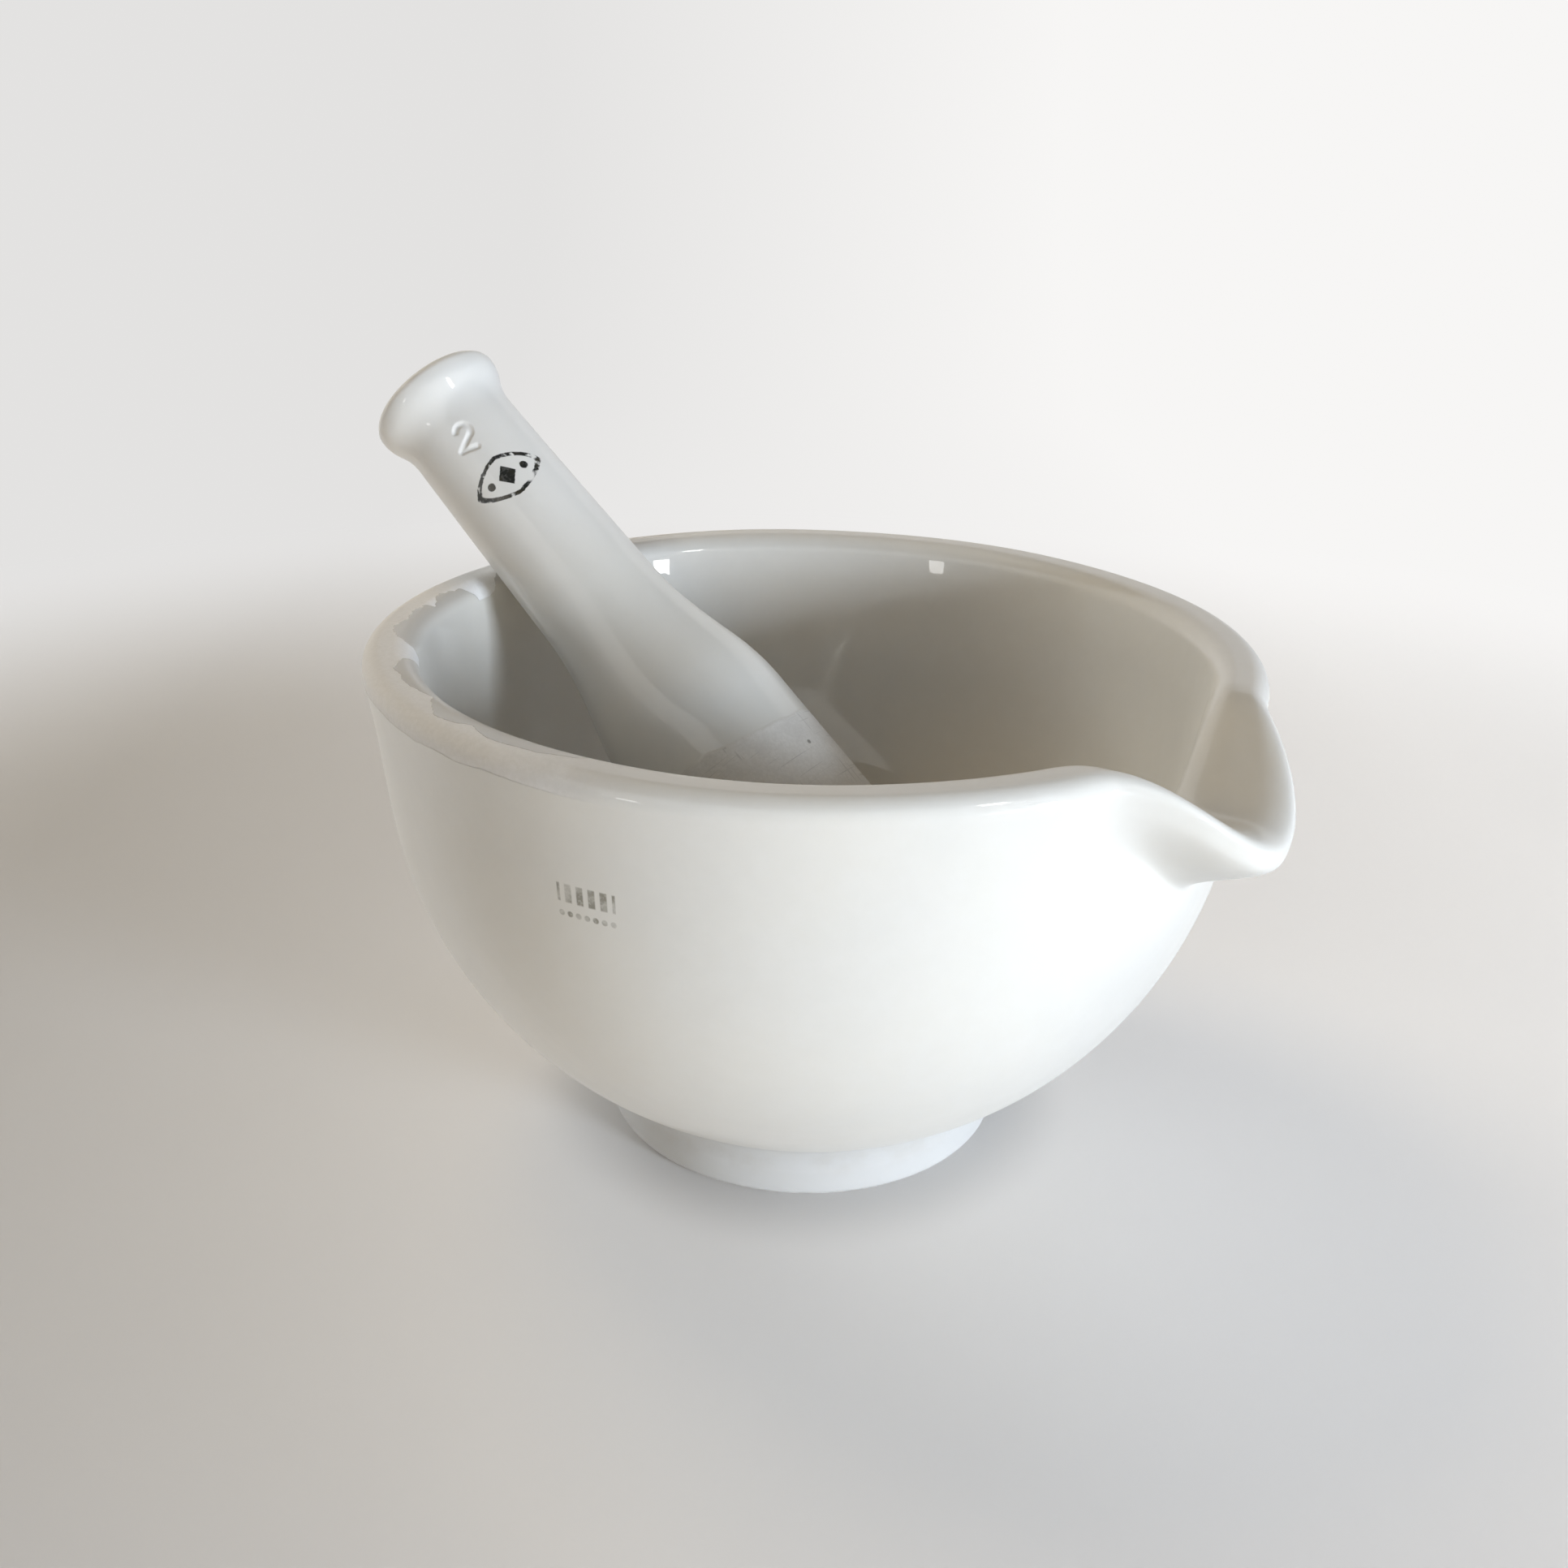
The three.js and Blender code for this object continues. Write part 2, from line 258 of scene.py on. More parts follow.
def ring_angles(start, end, fine_step, coarse_step):
    """Azimuths once round, given in degrees: fine steps from start to end, and coarse ones over the rest."""
    fine = np.arange(start, end, fine_step)
    coarse = np.arange(end, start + 360, coarse_step)
    return np.radians(np.concatenate([fine, coarse]))


def make_mortar():
    """The mortar, with fine steps round the spout."""
    azimuths = ring_angles(-32, 32, 0.5, 1.25)
    ones = np.ones(len(azimuths))
    rings = []
    section = []
    for part, points in mortar_profile():
        for r, z in points:
            radius, height = with_spout(r * ones, z * ones, part, azimuths)
            outwards, upwards = unevenness(azimuths, z)
            radius = radius + outwards
            height = height + upwards
            rings.append(np.stack([radius * np.cos(azimuths), radius * np.sin(azimuths), height], 1))
            inside = float(part == "bowl")
            section.append((r, z, inside))
    obj = skin("mortar_body", np.array(rings), (0, 0, BASE_THICKNESS), (0, 0, 0))
    around = np.repeat(section, len(azimuths), axis=0)
    remember(obj, "section", np.concatenate([[(0, BASE_THICKNESS, 1)], around, [(0, 0, 0)]]))
    return obj


def pestle_profile():
    """(radius, distance from the handle's end), from the end of the handle to the head's tip."""
    dome = arc(FLANGE_RADIUS - FLANGE_EDGE, FLANGE_EDGE, FLANGE_EDGE, -90, 0, 16)
    dome[:, 1] += FLANGE_DOME * np.maximum(0, 1 - dome[:, 1] / FLANGE_EDGE)
    end = line([0, 0], dome[0], 8)[1:]
    end[:, 1] = FLANGE_DOME * (end[:, 0] / dome[0, 0]) ** 2
    neck_end = [NECK_RADIUS, NECK_AT]
    under = bezier(dome[-1], [FLANGE_RADIUS, 6.2], [NECK_RADIUS, 6.6], neck_end, 32)[1:]
    digit_end = [NECK_RADIUS + 0.25, DIGIT_AT + DIGIT_REACH]
    grip_end = [GRIP_END_RADIUS, GRIP_END_AT]
    grip = np.concatenate([
        line(neck_end, digit_end, 60)[1:],
        line(digit_end, grip_end, 40),
    ])
    swell = bezier(grip_end, [12.4, 64], [15.9, 72], [SHOULDER_RADIUS, HEAD_AT - 2.5], 44)
    shoulder = bezier(swell[-1], [17.0, HEAD_AT - 1], [HEAD_TOP_RADIUS, HEAD_AT + 0.5],
                      [HEAD_TOP_RADIUS + 0.12, HEAD_AT + 4], 16)[1:]
    straight_end = PESTLE_LENGTH - HEAD_END_RADIUS
    head = line(shoulder[-1], [HEAD_END_RADIUS, straight_end], 40)[1:]
    tip = arc(0, straight_end, HEAD_END_RADIUS, 0, 90, 40)[:-1]
    return np.concatenate([end, dome, under, grip, swell, shoulder, head, tip])


def digit_line():
    """The middle line of the impressed size digit, a plain 2, in its own (right, up) millimetres."""
    bowl_angles = np.radians(np.linspace(165, -35, 24))
    bowl = np.stack([1.4 * np.cos(bowl_angles), 1.15 + 1.4 * np.sin(bowl_angles)], 1)
    return np.concatenate([bowl, [(-1.45, -2.4), (1.6, -2.4)]])


def digit_depth(along, across):
    """How deep the digit is pressed in at these places on the handle: along the axis and round it."""
    cos = math.cos(DIGIT_SLANT)
    sin = math.sin(DIGIT_SLANT)
    right = (across - DIGIT_ACROSS) * cos + (along - DIGIT_AT) * sin
    up = (across - DIGIT_ACROSS) * sin - (along - DIGIT_AT) * cos
    points = digit_line()
    nearest = np.full(np.shape(across), np.inf)
    for (ax, ay), (bx, by) in zip(points[:-1], points[1:]):
        dx, dy = bx - ax, by - ay
        t = np.clip(((right - ax) * dx + (up - ay) * dy) / (dx * dx + dy * dy), 0, 1)
        nearest = np.minimum(nearest, np.hypot(right - ax - t * dx, up - ay - t * dy))
    return DIGIT_DEPTH * ease(nearest, 0.8, 0.15)


def make_pestle():
    """The pestle, made upright with the end of its handle at the origin, then laid on its slope.

    Its steps are fine round the digit.
    """
    azimuths = ring_angles(-85, -15, 0.8, 1.45)[::-1]
    rings = []
    for r, s in pestle_profile():
        waviness = 0.05 * np.sin(2 * azimuths + s / 23) + 0.04 * np.sin(s / 9 + 3 * azimuths) - 0.09
        radius = r + waviness * min(1, r / 8)
        if abs(s - DIGIT_AT) < DIGIT_REACH:
            radius = radius - digit_depth(s, azimuths * r)
        height = np.full(len(azimuths), -s)
        rings.append(np.stack([radius * np.cos(azimuths), radius * np.sin(azimuths), height], 1))
    obj = skin("pestle_body", np.array(rings), (0, 0, 0), (0, 0, -PESTLE_LENGTH))
    remember(obj, "upright", np.array([v.co for v in obj.data.vertices]) / MM)
    up = Vector((-math.cos(PESTLE_SLOPE), 0, math.sin(PESTLE_SLOPE)))
    above = Vector((math.sin(PESTLE_SLOPE), 0, math.cos(PESTLE_SLOPE)))
    turn = Matrix((above, up.cross(above), up)).transposed()
    lay = Matrix.Rotation(PESTLE_SWING, 3, "Z") @ turn
    obj.data.transform(lay.to_4x4())
    points = np.array([v.co for v in obj.data.vertices])
    middle = (Vector(points.min(0)) + Vector(points.max(0))) / 2
    obj.data.transform(Matrix.Translation((pestle_low + pestle_high) / 2 - middle))
    return obj


# ---------------------------------------------------------------- materials

# Where the glaze ends, and where the wear and the marks lie
LEFT = (-0.76, -0.65)
BARE_SIDE_START = 34
BARE_SIDE_END = 52
RIM_GLAZE_RADIUS = 72.2
RIM_LOBE_SPACING = 17
RIM_LOBE_DEPTH = 10.5
RIM_BARE_Z = 85.9
# Radii from which the rim's glazed top gets its painted dark reflection
PAINTED_REFLECTION_START = 66
PAINTED_REFLECTION_END = 67.5
FOOT_BARE_Z = 0.75
BOWL_GROUND_Z = 52
HEAD_GLAZE_AT = 91.0
WALL_MARK_AZIMUTH = math.radians(-75.2)
WALL_MARK_RADIUS = 72.5
WALL_MARK_HALF_WIDTH = 4.75
BARS_Z = 70.9
BAR_SPACING = 1.9
DOTS_Z = 67.6
DOT_SPACING = 1.4
STAMP_HALF_WIDTH = 6.9
STAMP_HALF_HEIGHT = 4.0
STAMP_ROUNDNESS = 1.4
STAMP_DOT_ACROSS = 3.7

# Relief and finish
MORTAR_GLAZE_THICKNESS = 0.09
PESTLE_GLAZE_THICKNESS = 0.06
GLAZED_ROUGHNESS = 0.4
SPECULAR = 0.3

# Colours as linear red, green, blue and alpha
BLACK = (0, 0, 0, 1)
GLAZE_COOL = (0.785, 0.775, 0.738, 1)
GLAZE_WARM = (0.815, 0.797, 0.745, 1)
GLAZE_PALE = (0.83, 0.82, 0.785, 1)
IRON = (0.30, 0.24, 0.17, 1)
# Painted reflection: this dark grey on the left rim's glazed top stands in for the glaze mirroring the dark
# room
RIM_GLAZE_PAINTED_REFLECTION = (0.56, 0.54, 0.51, 1)
RIM_BARE = (0.89, 0.885, 0.875, 1)
RIM_BARE_PALE = (0.94, 0.935, 0.93, 1)
# Painted shade: a darker, cooler grey for the foot and the wall's lowest band
FOOT_PAINTED_SHADE = (0.60, 0.605, 0.605, 1)
FOOT_SCUFF = (0.50, 0.48, 0.45, 1)
FOOT_DUST = (0.50, 0.47, 0.42, 1)
BOWL_SCRATCH = (0.52, 0.51, 0.49, 1)
WALL_INK = (0.17, 0.155, 0.105, 1)
# Painted light: a paler white for the handle's end, which stands above the rim in the low light
HANDLE_PAINTED_LIGHT = (0.90, 0.895, 0.87, 1)
# Painted shade: a greyer, greenish tone for the grip where it sits down by the rim
GRIP_PAINTED_SHADE = (0.70, 0.70, 0.665, 1)
HEAD_BARE = (0.73, 0.72, 0.69, 1)
HEAD_BARE_PALE = (0.80, 0.79, 0.765, 1)
HEAD_STAIN = (0.60, 0.585, 0.56, 1)
HEAD_WEAR = (0.60, 0.58, 0.55, 1)
HEAD_DIRT = (0.14, 0.13, 0.11, 1)
HEAD_SCRATCH = (0.42, 0.41, 0.40, 1)
STAMP_INK = (0.005, 0.006, 0.004, 1)
STAMP_INK_THIN = (0.035, 0.028, 0.014, 1)
FLOOR_GREY = (0.61, 0.60, 0.595, 1)
FLOOR_PALE = (0.63, 0.62, 0.61, 1)
GLOW_WHITE = (1.0, 0.99, 0.98, 1)


class Graph:
    """Short calls that build one material's nodes. Numbers and node outputs mix freely as values."""

    def __init__(self, name):
        self.material = bpy.data.materials.new(name)
        self.material.use_nodes = True
        self.tree = self.material.node_tree
        self.shader = self.tree.nodes["Principled BSDF"]

    def put(self, socket, value):
        if isinstance(value, bpy.types.NodeSocket):
            self.tree.links.new(value, socket)
        else:
            socket.default_value = value

    def node(self, kind, inputs, **settings):
        node = self.tree.nodes.new(kind)
        for key, value in settings.items():
            setattr(node, key, value)
        for key, value in inputs.items():
            self.put(node.inputs[key], value)
        return node

    def math(self, operation, *values):
        return self.node("ShaderNodeMath", dict(enumerate(values)), operation=operation).outputs[0]

    def add(self, *values):
        total = values[0]
        for value in values[1:]:
            total = self.math("ADD", total, value)
        return total

    def minus(self, value, taken):
        return self.math("SUBTRACT", value, taken)

    def times(self, *values):
        product = values[0]
        for value in values[1:]:
            product = self.math("MULTIPLY", product, value)
        return product

    def invert(self, value):
        return self.minus(1.0, value)

    def absolute(self, value):
        return self.math("ABSOLUTE", value)

    def larger(self, first, second):
        return self.math("MAXIMUM", first, second)

    def length(self, x, y):
        return self.math("SQRT", self.add(self.times(x, x), self.times(y, y)))

    def along(self, x, y, direction):
        """How far (x, y) lies in this level direction."""
        return self.add(self.times(x, direction[0]), self.times(y, direction[1]))

    def step(self, value, low, high):
        """0 below low and 1 above high, with a smooth rise between. Falls instead if low is the larger."""
        inputs = {"Value": value, "From Min": low, "From Max": high}
        return self.node("ShaderNodeMapRange", inputs, interpolation_type="SMOOTHSTEP").outputs[0]

    def mix(self, share, first, second):
        """A colour between two others."""
        return self.node("ShaderNodeMix", {0: share, 6: first, 7: second}, data_type="RGBA").outputs[2]

    def tint(self, colour, share, strength, over):
        """The colour with this strength of another one over it, where share is 1."""
        return self.mix(self.times(share, strength), colour, over)

    def blend(self, share, first, second):
        """A number between two others."""
        return self.node("ShaderNodeMix", {0: share, 2: first, 3: second}).outputs[0]

    def place(self):
        """Where the point is on the resting object, in millimetres."""
        metres = self.node("ShaderNodeTexCoord", {}).outputs["Object"]
        return self.node("ShaderNodeVectorMath", {0: metres, "Scale": 1 / MM}, operation="SCALE").outputs[0]

    def kept(self, name):
        return self.node("ShaderNodeAttribute", {}, attribute_name=name).outputs["Vector"]

    def split(self, vector):
        return self.node("ShaderNodeSeparateXYZ", {0: vector}).outputs[:3]

    def join(self, x, y, z):
        return self.node("ShaderNodeCombineXYZ", {0: x, 1: y, 2: z}).outputs[0]

    def noise(self, place, size, detail=2.0, roughness=0.5):
        """Noise from about 0.25 to 0.75 whose patches are about this many millimetres across."""
        inputs = {"Vector": place, "Scale": 1 / size, "Detail": detail, "Roughness": roughness}
        return self.node("ShaderNodeTexNoise", inputs).outputs[0]

    def cells(self, place, size):
        """(distance to the nearest cell's middle in cell sizes, a random number for each cell)."""
        node = self.node("ShaderNodeTexVoronoi", {"Vector": place, "Scale": 1 / size})
        return node.outputs["Distance"], self.split(node.outputs["Color"])[0]

    def specks(self, place, spacing, share, radius):
        """Scattered round dots, 1 inside and 0 outside: this share of the cells may hold one."""
        distance, chance = self.cells(place, spacing)
        size = self.times(self.step(chance, 1 - share, 1), radius / spacing)
        return self.step(distance, size, self.times(size, 0.5))

    def gloss(self):
        """The share of full gloss: the glaze mirrors less where it turns away from the eye."""
        facing = self.node("ShaderNodeLayerWeight", {"Blend": 0.5}).outputs["Facing"]
        return self.blend(self.step(facing, 0.6, 0.95), 1.0, 0.25)

    def bump(self, height):
        """The normal of a surface with this relief, in millimetres."""
        return self.node("ShaderNodeBump", {"Height": height, "Distance": MM, "Strength": 1.0}).outputs[0]

    def finish(self, **values):
        for key, value in values.items():
            self.put(self.shader.inputs[key.replace("_", " ")], value)
        return self.material


def glaze_relief(graph, place, bare, thickness):
    """The glaze's thickness over bare porcelain, with slow waves and a fine orange peel, in millimetres."""
    waves = graph.times(graph.noise(place, 9, 1), 0.05)
    peel = graph.times(graph.noise(place, 1.6, 1), 0.004)
    glazed = graph.invert(bare)
    return graph.add(graph.times(graph.add(waves, peel), glazed), graph.times(glazed, thickness))


def glaze_colour(graph, place):
    """White porcelain with faint cool and warm clouds and a few tiny iron specks."""
    clouds = graph.step(graph.noise(place, 38, 3), 0.3, 0.7)
    mottle = graph.step(graph.noise(place, 4, 4, 0.6), 0.3, 0.75)
    white = graph.tint(graph.mix(clouds, GLAZE_COOL, GLAZE_WARM), mottle, 0.35, GLAZE_PALE)
    return graph.tint(white, graph.specks(place, 11, 0.25, 0.2), 0.35, IRON)


def porcelain(graph, colour, bare, bare_roughness, coat_roughness, relief):
    """Finishes a material that is matt where bare is 1, and under clear glaze where it is 0."""
    normal = graph.bump(relief)
    return graph.finish(
        Base_Color=colour,
        Roughness=graph.blend(bare, GLAZED_ROUGHNESS, bare_roughness),
        Specular_IOR_Level=SPECULAR,
        Coat_Weight=graph.times(graph.invert(bare), graph.gloss()),
        Coat_Roughness=coat_roughness,
        Normal=normal,
        Coat_Normal=normal,
    )


def rim_glaze(graph, place, section_r, section_z, inside):
    """(where the rim is bare, where its glazed top is painted with a dark reflection), both on the side
    where the pestle leans.

    The glaze ends in lobes near the rim's outer edge, with a few drops beyond them.
    """
    x, y, _ = graph.split(place)
    to_left = graph.add(graph.along(x, y, LEFT), graph.times(graph.noise(place, 12, 2), 24))
    bare_side = graph.step(to_left, BARE_SIDE_START, BARE_SIDE_END)
    lower_edge = graph.add(RIM_BARE_Z, graph.times(graph.noise(place, 7, 2), 1.6))
    on_rim = graph.step(graph.minus(section_z, lower_edge), -0.15, 0.15)
    outside = graph.invert(inside)

    lobes, _ = graph.cells(place, RIM_LOBE_SPACING)
    wobble = graph.times(graph.add(graph.noise(place, 3.5, 3), -0.5), 2.2)
    edge_r = graph.add(RIM_GLAZE_RADIUS, graph.times(lobes, lobes, -RIM_LOBE_DEPTH), wobble)
    past_edge = graph.step(graph.minus(section_r, edge_r), -0.1, 0.1)
    drops = graph.specks(place, 9, 0.5, 2.2)
    bare = graph.times(past_edge, on_rim, bare_side, graph.invert(drops), outside)
    # Painted reflection: the glazed part of the rim's top on this side is marked for a dark grey, the glaze
    # and bare pattern itself is real
    painted_reflection = graph.times(graph.step(section_r, PAINTED_REFLECTION_START, PAINTED_REFLECTION_END), on_rim, bare_side, outside)
    return bare, painted_reflection


def bowl_wear(graph, place, section_r, inside):
    """(where grinding has dulled the bowl, the fine arcs that it has scratched there)."""
    x, _, z = graph.split(place)
    height = graph.add(z, graph.times(graph.noise(place, 14, 3), 26))
    ground = graph.times(inside, graph.step(height, BOWL_GROUND_Z, BOWL_GROUND_Z - 22))
    across_arcs = graph.join(graph.times(section_r, 3.0), graph.times(z, 3.0), graph.times(x, 0.12))
    arcs = graph.noise(across_arcs, 1.0, 3)
    return ground, graph.times(graph.step(arcs, 0.60, 0.66), ground)


def wall_mark(graph, place):
    """A faded printed mark on the wall: a row of upright bars over a row of dots."""
    x, y, z = graph.split(place)
    turn = graph.add(graph.math("ARCTAN2", y, x), -WALL_MARK_AZIMUTH)
    across = graph.times(turn, WALL_MARK_RADIUS)
    within = graph.step(graph.absolute(across), WALL_MARK_HALF_WIDTH, WALL_MARK_HALF_WIDTH - 0.15)
    bars = graph.step(graph.math("PINGPONG", across, BAR_SPACING / 2), 0.30, 0.52)
    bar_row = graph.step(graph.absolute(graph.add(z, -BARS_Z)), 1.6, 1.3)
    from_dot = graph.length(graph.math("PINGPONG", across, DOT_SPACING / 2), graph.add(z, -DOTS_Z))
    dots = graph.step(from_dot, 0.58, 0.34)
    worn = graph.blend(graph.step(graph.noise(place, 0.5, 3), 0.35, 0.55), 0.7, 1.0)
    faded = graph.blend(graph.step(graph.noise(place, 3.2, 1), 0.36, 0.6), 0.45, 1.0)
    return graph.times(graph.larger(graph.times(bars, bar_row), dots), within, worn, faded)


def mortar_material():
    graph = Graph("mortar_porcelain")
    place = graph.place()
    section_r, section_z, inside = graph.split(graph.kept("section"))
    outside = graph.invert(inside)

    bare_rim, rim_painted_reflection = rim_glaze(graph, place, section_r, section_z, inside)
    foot_height = graph.add(section_z, graph.times(graph.noise(place, 6, 2), 0.4))
    bare_foot = graph.step(foot_height, FOOT_BARE_Z, FOOT_BARE_Z - 0.25)
    bare = graph.larger(bare_rim, bare_foot)
    grain = graph.noise(place, 0.7, 4, 0.7)
    ground, scratches = bowl_wear(graph, place, section_r, inside)
    # Painted shade: marks the outside below about 14 mm, to be darkened
    foot = graph.times(graph.step(section_z, 14, 6), outside)
    scuffs = graph.times(bare_foot, graph.step(graph.noise(place, 2.5, 4), 0.42, 0.7))
    crease = graph.times(graph.step(section_z, 10, 6), graph.step(section_z, 2.5, 5), outside)
    dust = graph.times(crease, graph.step(graph.noise(place, 5, 4), 0.4, 0.7))
    mark = graph.times(wall_mark(graph, place), outside)

    colour = glaze_colour(graph, place)
    # Painted reflection: the left rim's glazed top turns dark grey, as if mirroring the dark room
    colour = graph.tint(colour, rim_painted_reflection, 0.8, RIM_GLAZE_PAINTED_REFLECTION)
    # Painted shade: the foot and the lowest band of the wall are darkened to a cooler grey
    colour = graph.tint(colour, foot, 0.9, FOOT_PAINTED_SHADE)
    matt = graph.mix(graph.step(grain, 0.35, 0.7), RIM_BARE, RIM_BARE_PALE)
    colour = graph.mix(bare, colour, matt)
    colour = graph.tint(colour, scuffs, 0.4, FOOT_SCUFF)
    colour = graph.tint(colour, dust, 0.25, FOOT_DUST)
    colour = graph.tint(colour, scratches, 0.35, BOWL_SCRATCH)
    colour = graph.tint(colour, mark, 0.8, WALL_INK)

    relief = graph.add(
        glaze_relief(graph, place, bare, MORTAR_GLAZE_THICKNESS),
        graph.times(grain, bare, 0.03),
        graph.times(scratches, -0.01),
    )
    smears = graph.times(graph.noise(place, 5, 3), 0.02)
    coat_roughness = graph.add(0.01, graph.times(ground, 0.22), smears)
    return porcelain(graph, colour, bare, 0.85, coat_roughness, relief)


def head_wear(graph, across, s, bare):
    """The fine scratches round and along the grinding head."""
    drag = graph.noise(graph.join(graph.times(across, 0.10), graph.times(s, 2.2), 0.0), 1.0, 3)
    draw = graph.noise(graph.join(graph.times(across, 1.6), graph.times(s, 0.10), 4.0), 1.0, 3)
    return graph.times(graph.larger(graph.step(drag, 0.63, 0.68), graph.step(draw, 0.64, 0.69)), bare)


def stamp_outline(graph, across, along, worn):
    """The stamp's shape: a worn lozenge round a small solid one and two dots."""
    u = graph.absolute(graph.add(across, -STAMP_ACROSS))
    v = graph.absolute(graph.add(along, -STAMP_AT))
    outer = graph.add(graph.math("POWER", graph.times(u, 1 / STAMP_HALF_WIDTH), STAMP_ROUNDNESS),
                      graph.math("POWER", graph.times(v, 1 / STAMP_HALF_HEIGHT), STAMP_ROUNDNESS))
    outline = graph.step(graph.absolute(graph.add(outer, -1.0)), 0.16, 0.10)
    middle = graph.step(graph.add(u, graph.times(v, 0.85)), 1.95, 1.75)
    dots = graph.step(graph.length(graph.add(u, -STAMP_DOT_ACROSS), v), 0.85, 0.68)
    return graph.larger(graph.times(outline, worn), graph.larger(middle, dots))


def stamp(graph, place, across, s):
    """The strength of the stamp's ink, with an uneven edge."""
    unsteady = graph.times(graph.add(graph.noise(place, 0.7, 2), -0.5), 0.3)
    fade = graph.add(graph.noise(place, 1.5, 4), graph.times(graph.step(across, -12, -2), -0.08))
    worn = graph.times(graph.step(fade, 0.30, 0.44), graph.step(graph.noise(place, 5.5, 1), 0.27, 0.38))
    ink = stamp_outline(graph, graph.add(across, unsteady), graph.add(s, unsteady), worn)
    return graph.times(ink, graph.blend(graph.step(graph.noise(place, 0.6, 3), 0.32, 0.5), 0.92, 1.0))


def head_colour(graph, place, s, grain):
    """Bare porcelain, stained by use and darker towards the head's tip."""
    matt = graph.mix(graph.step(grain, 0.35, 0.7), HEAD_BARE, HEAD_BARE_PALE)
    stain = graph.step(graph.noise(place, 9, 5, 0.6), 0.42, 0.68)
    wear = graph.step(graph.add(s, graph.times(graph.noise(place, 12, 4), 30)), 108, 140)
    return graph.tint(graph.tint(matt, stain, 0.35, HEAD_STAIN), wear, 0.4, HEAD_WEAR)


def pestle_material():
    graph = Graph("pestle_porcelain")
    place = graph.place()
    x, y, minus_s = graph.split(graph.kept("upright"))
    s = graph.times(minus_s, -1.0)
    turn = graph.math("ARCTAN2", y, x)
    across = graph.times(turn, NECK_RADIUS + 0.5)

    # The glaze stops in an uneven line round the head.
    edge_s = graph.add(HEAD_GLAZE_AT, graph.times(graph.noise(place, 16, 3), 6), -3.0,
                       graph.times(graph.math("SINE", graph.add(turn, 0.8)), 2.5))
    bare = graph.step(graph.minus(s, edge_s), -0.35, 0.35)
    grain = graph.noise(place, 0.6, 4, 0.7)
    scratches = head_wear(graph, across, s, bare)
    dirt = graph.larger(graph.specks(place, 3.6, 0.6, 0.55), graph.specks(place, 1.6, 0.3, 0.25))
    ink = stamp(graph, place, across, s)
    ink_blots = graph.step(graph.noise(place, 3.0, 1), 0.4, 0.7)

    colour = glaze_colour(graph, place)
    # Painted light: the handle's end, up to about 30 mm and fading out by 55 mm, is made paler
    colour = graph.tint(colour, graph.step(s, 55, 30), 0.75, HANDLE_PAINTED_LIGHT)
    # Painted shade: the grip from about 42 mm to 62 mm and beyond is greyed
    colour = graph.tint(colour, graph.step(s, 42, 62), 0.5, GRIP_PAINTED_SHADE)
    colour = graph.mix(bare, colour, head_colour(graph, place, s, grain))
    colour = graph.tint(colour, dirt, graph.blend(bare, 0.0, 0.7), HEAD_DIRT)
    colour = graph.tint(colour, scratches, 0.4, HEAD_SCRATCH)
    colour = graph.tint(colour, ink, 0.98, graph.mix(ink_blots, STAMP_INK, STAMP_INK_THIN))

    relief = graph.add(
        glaze_relief(graph, place, bare, PESTLE_GLAZE_THICKNESS),
        graph.times(grain, bare, 0.025),
        graph.times(scratches, -0.012),
        graph.times(ink, 0.004),
    )
    coat_roughness = graph.add(0.015, graph.times(graph.noise(place, 6, 3), 0.025))
    return porcelain(graph, colour, bare, 0.8, coat_roughness, relief)


# ---------------------------------------------------------------- studio

# The floor's mesh and the lamps round it, in metres
FLOOR_RADIUS = 0.75
FLOOR_SWEEP = 0.25
BACKDROP_TOP = 0.9
FLOOR_SIDES = 96
LIGHT_DISTANCE = 0.9
LIGHT_AIM_Z = 0.06

# How strongly the floor glows to the camera, how much that changes from the middle to the right, and what
# share of it is left in the foot's shade
RIGHT = (0.76, 0.65)
RIGHT_REACH = 190
NEAR_GLOW = 0.23
NEAR_GLOW_CHANGE = 0.22
FAR_GLOW = 0.85
FAR_GLOW_CHANGE = 0.08
FAR_START = 230
FAR_END = 480
SHADED_SHARE = 0.2
SHADE_START = 35
SHADE_END = 52

# How strongly the floor lights the pieces from in front, and shows in their glaze
FRONT = (0.63, -0.77)
FRONT_REACH = 200
BOUNCE = 0.13
BACK_SHINE = 0.35
FRONT_LOW_SHINE = 0.25
FRONT_HIGH_SHINE = 0.7
HIGH_SHINE_START = 325
HIGH_SHINE_END = 340

CAMERA_PLACE = (161.4, -197.2, 167.2)
CAMERA_YAW = math.radians(40.34)
CAMERA_PITCH = math.radians(22.60)
CAMERA_ROLL = math.radians(1.306)
CAMERA_LENS = 35.75
CAMERA_SENSOR = 36
CAMERA_NEAREST = 0.01


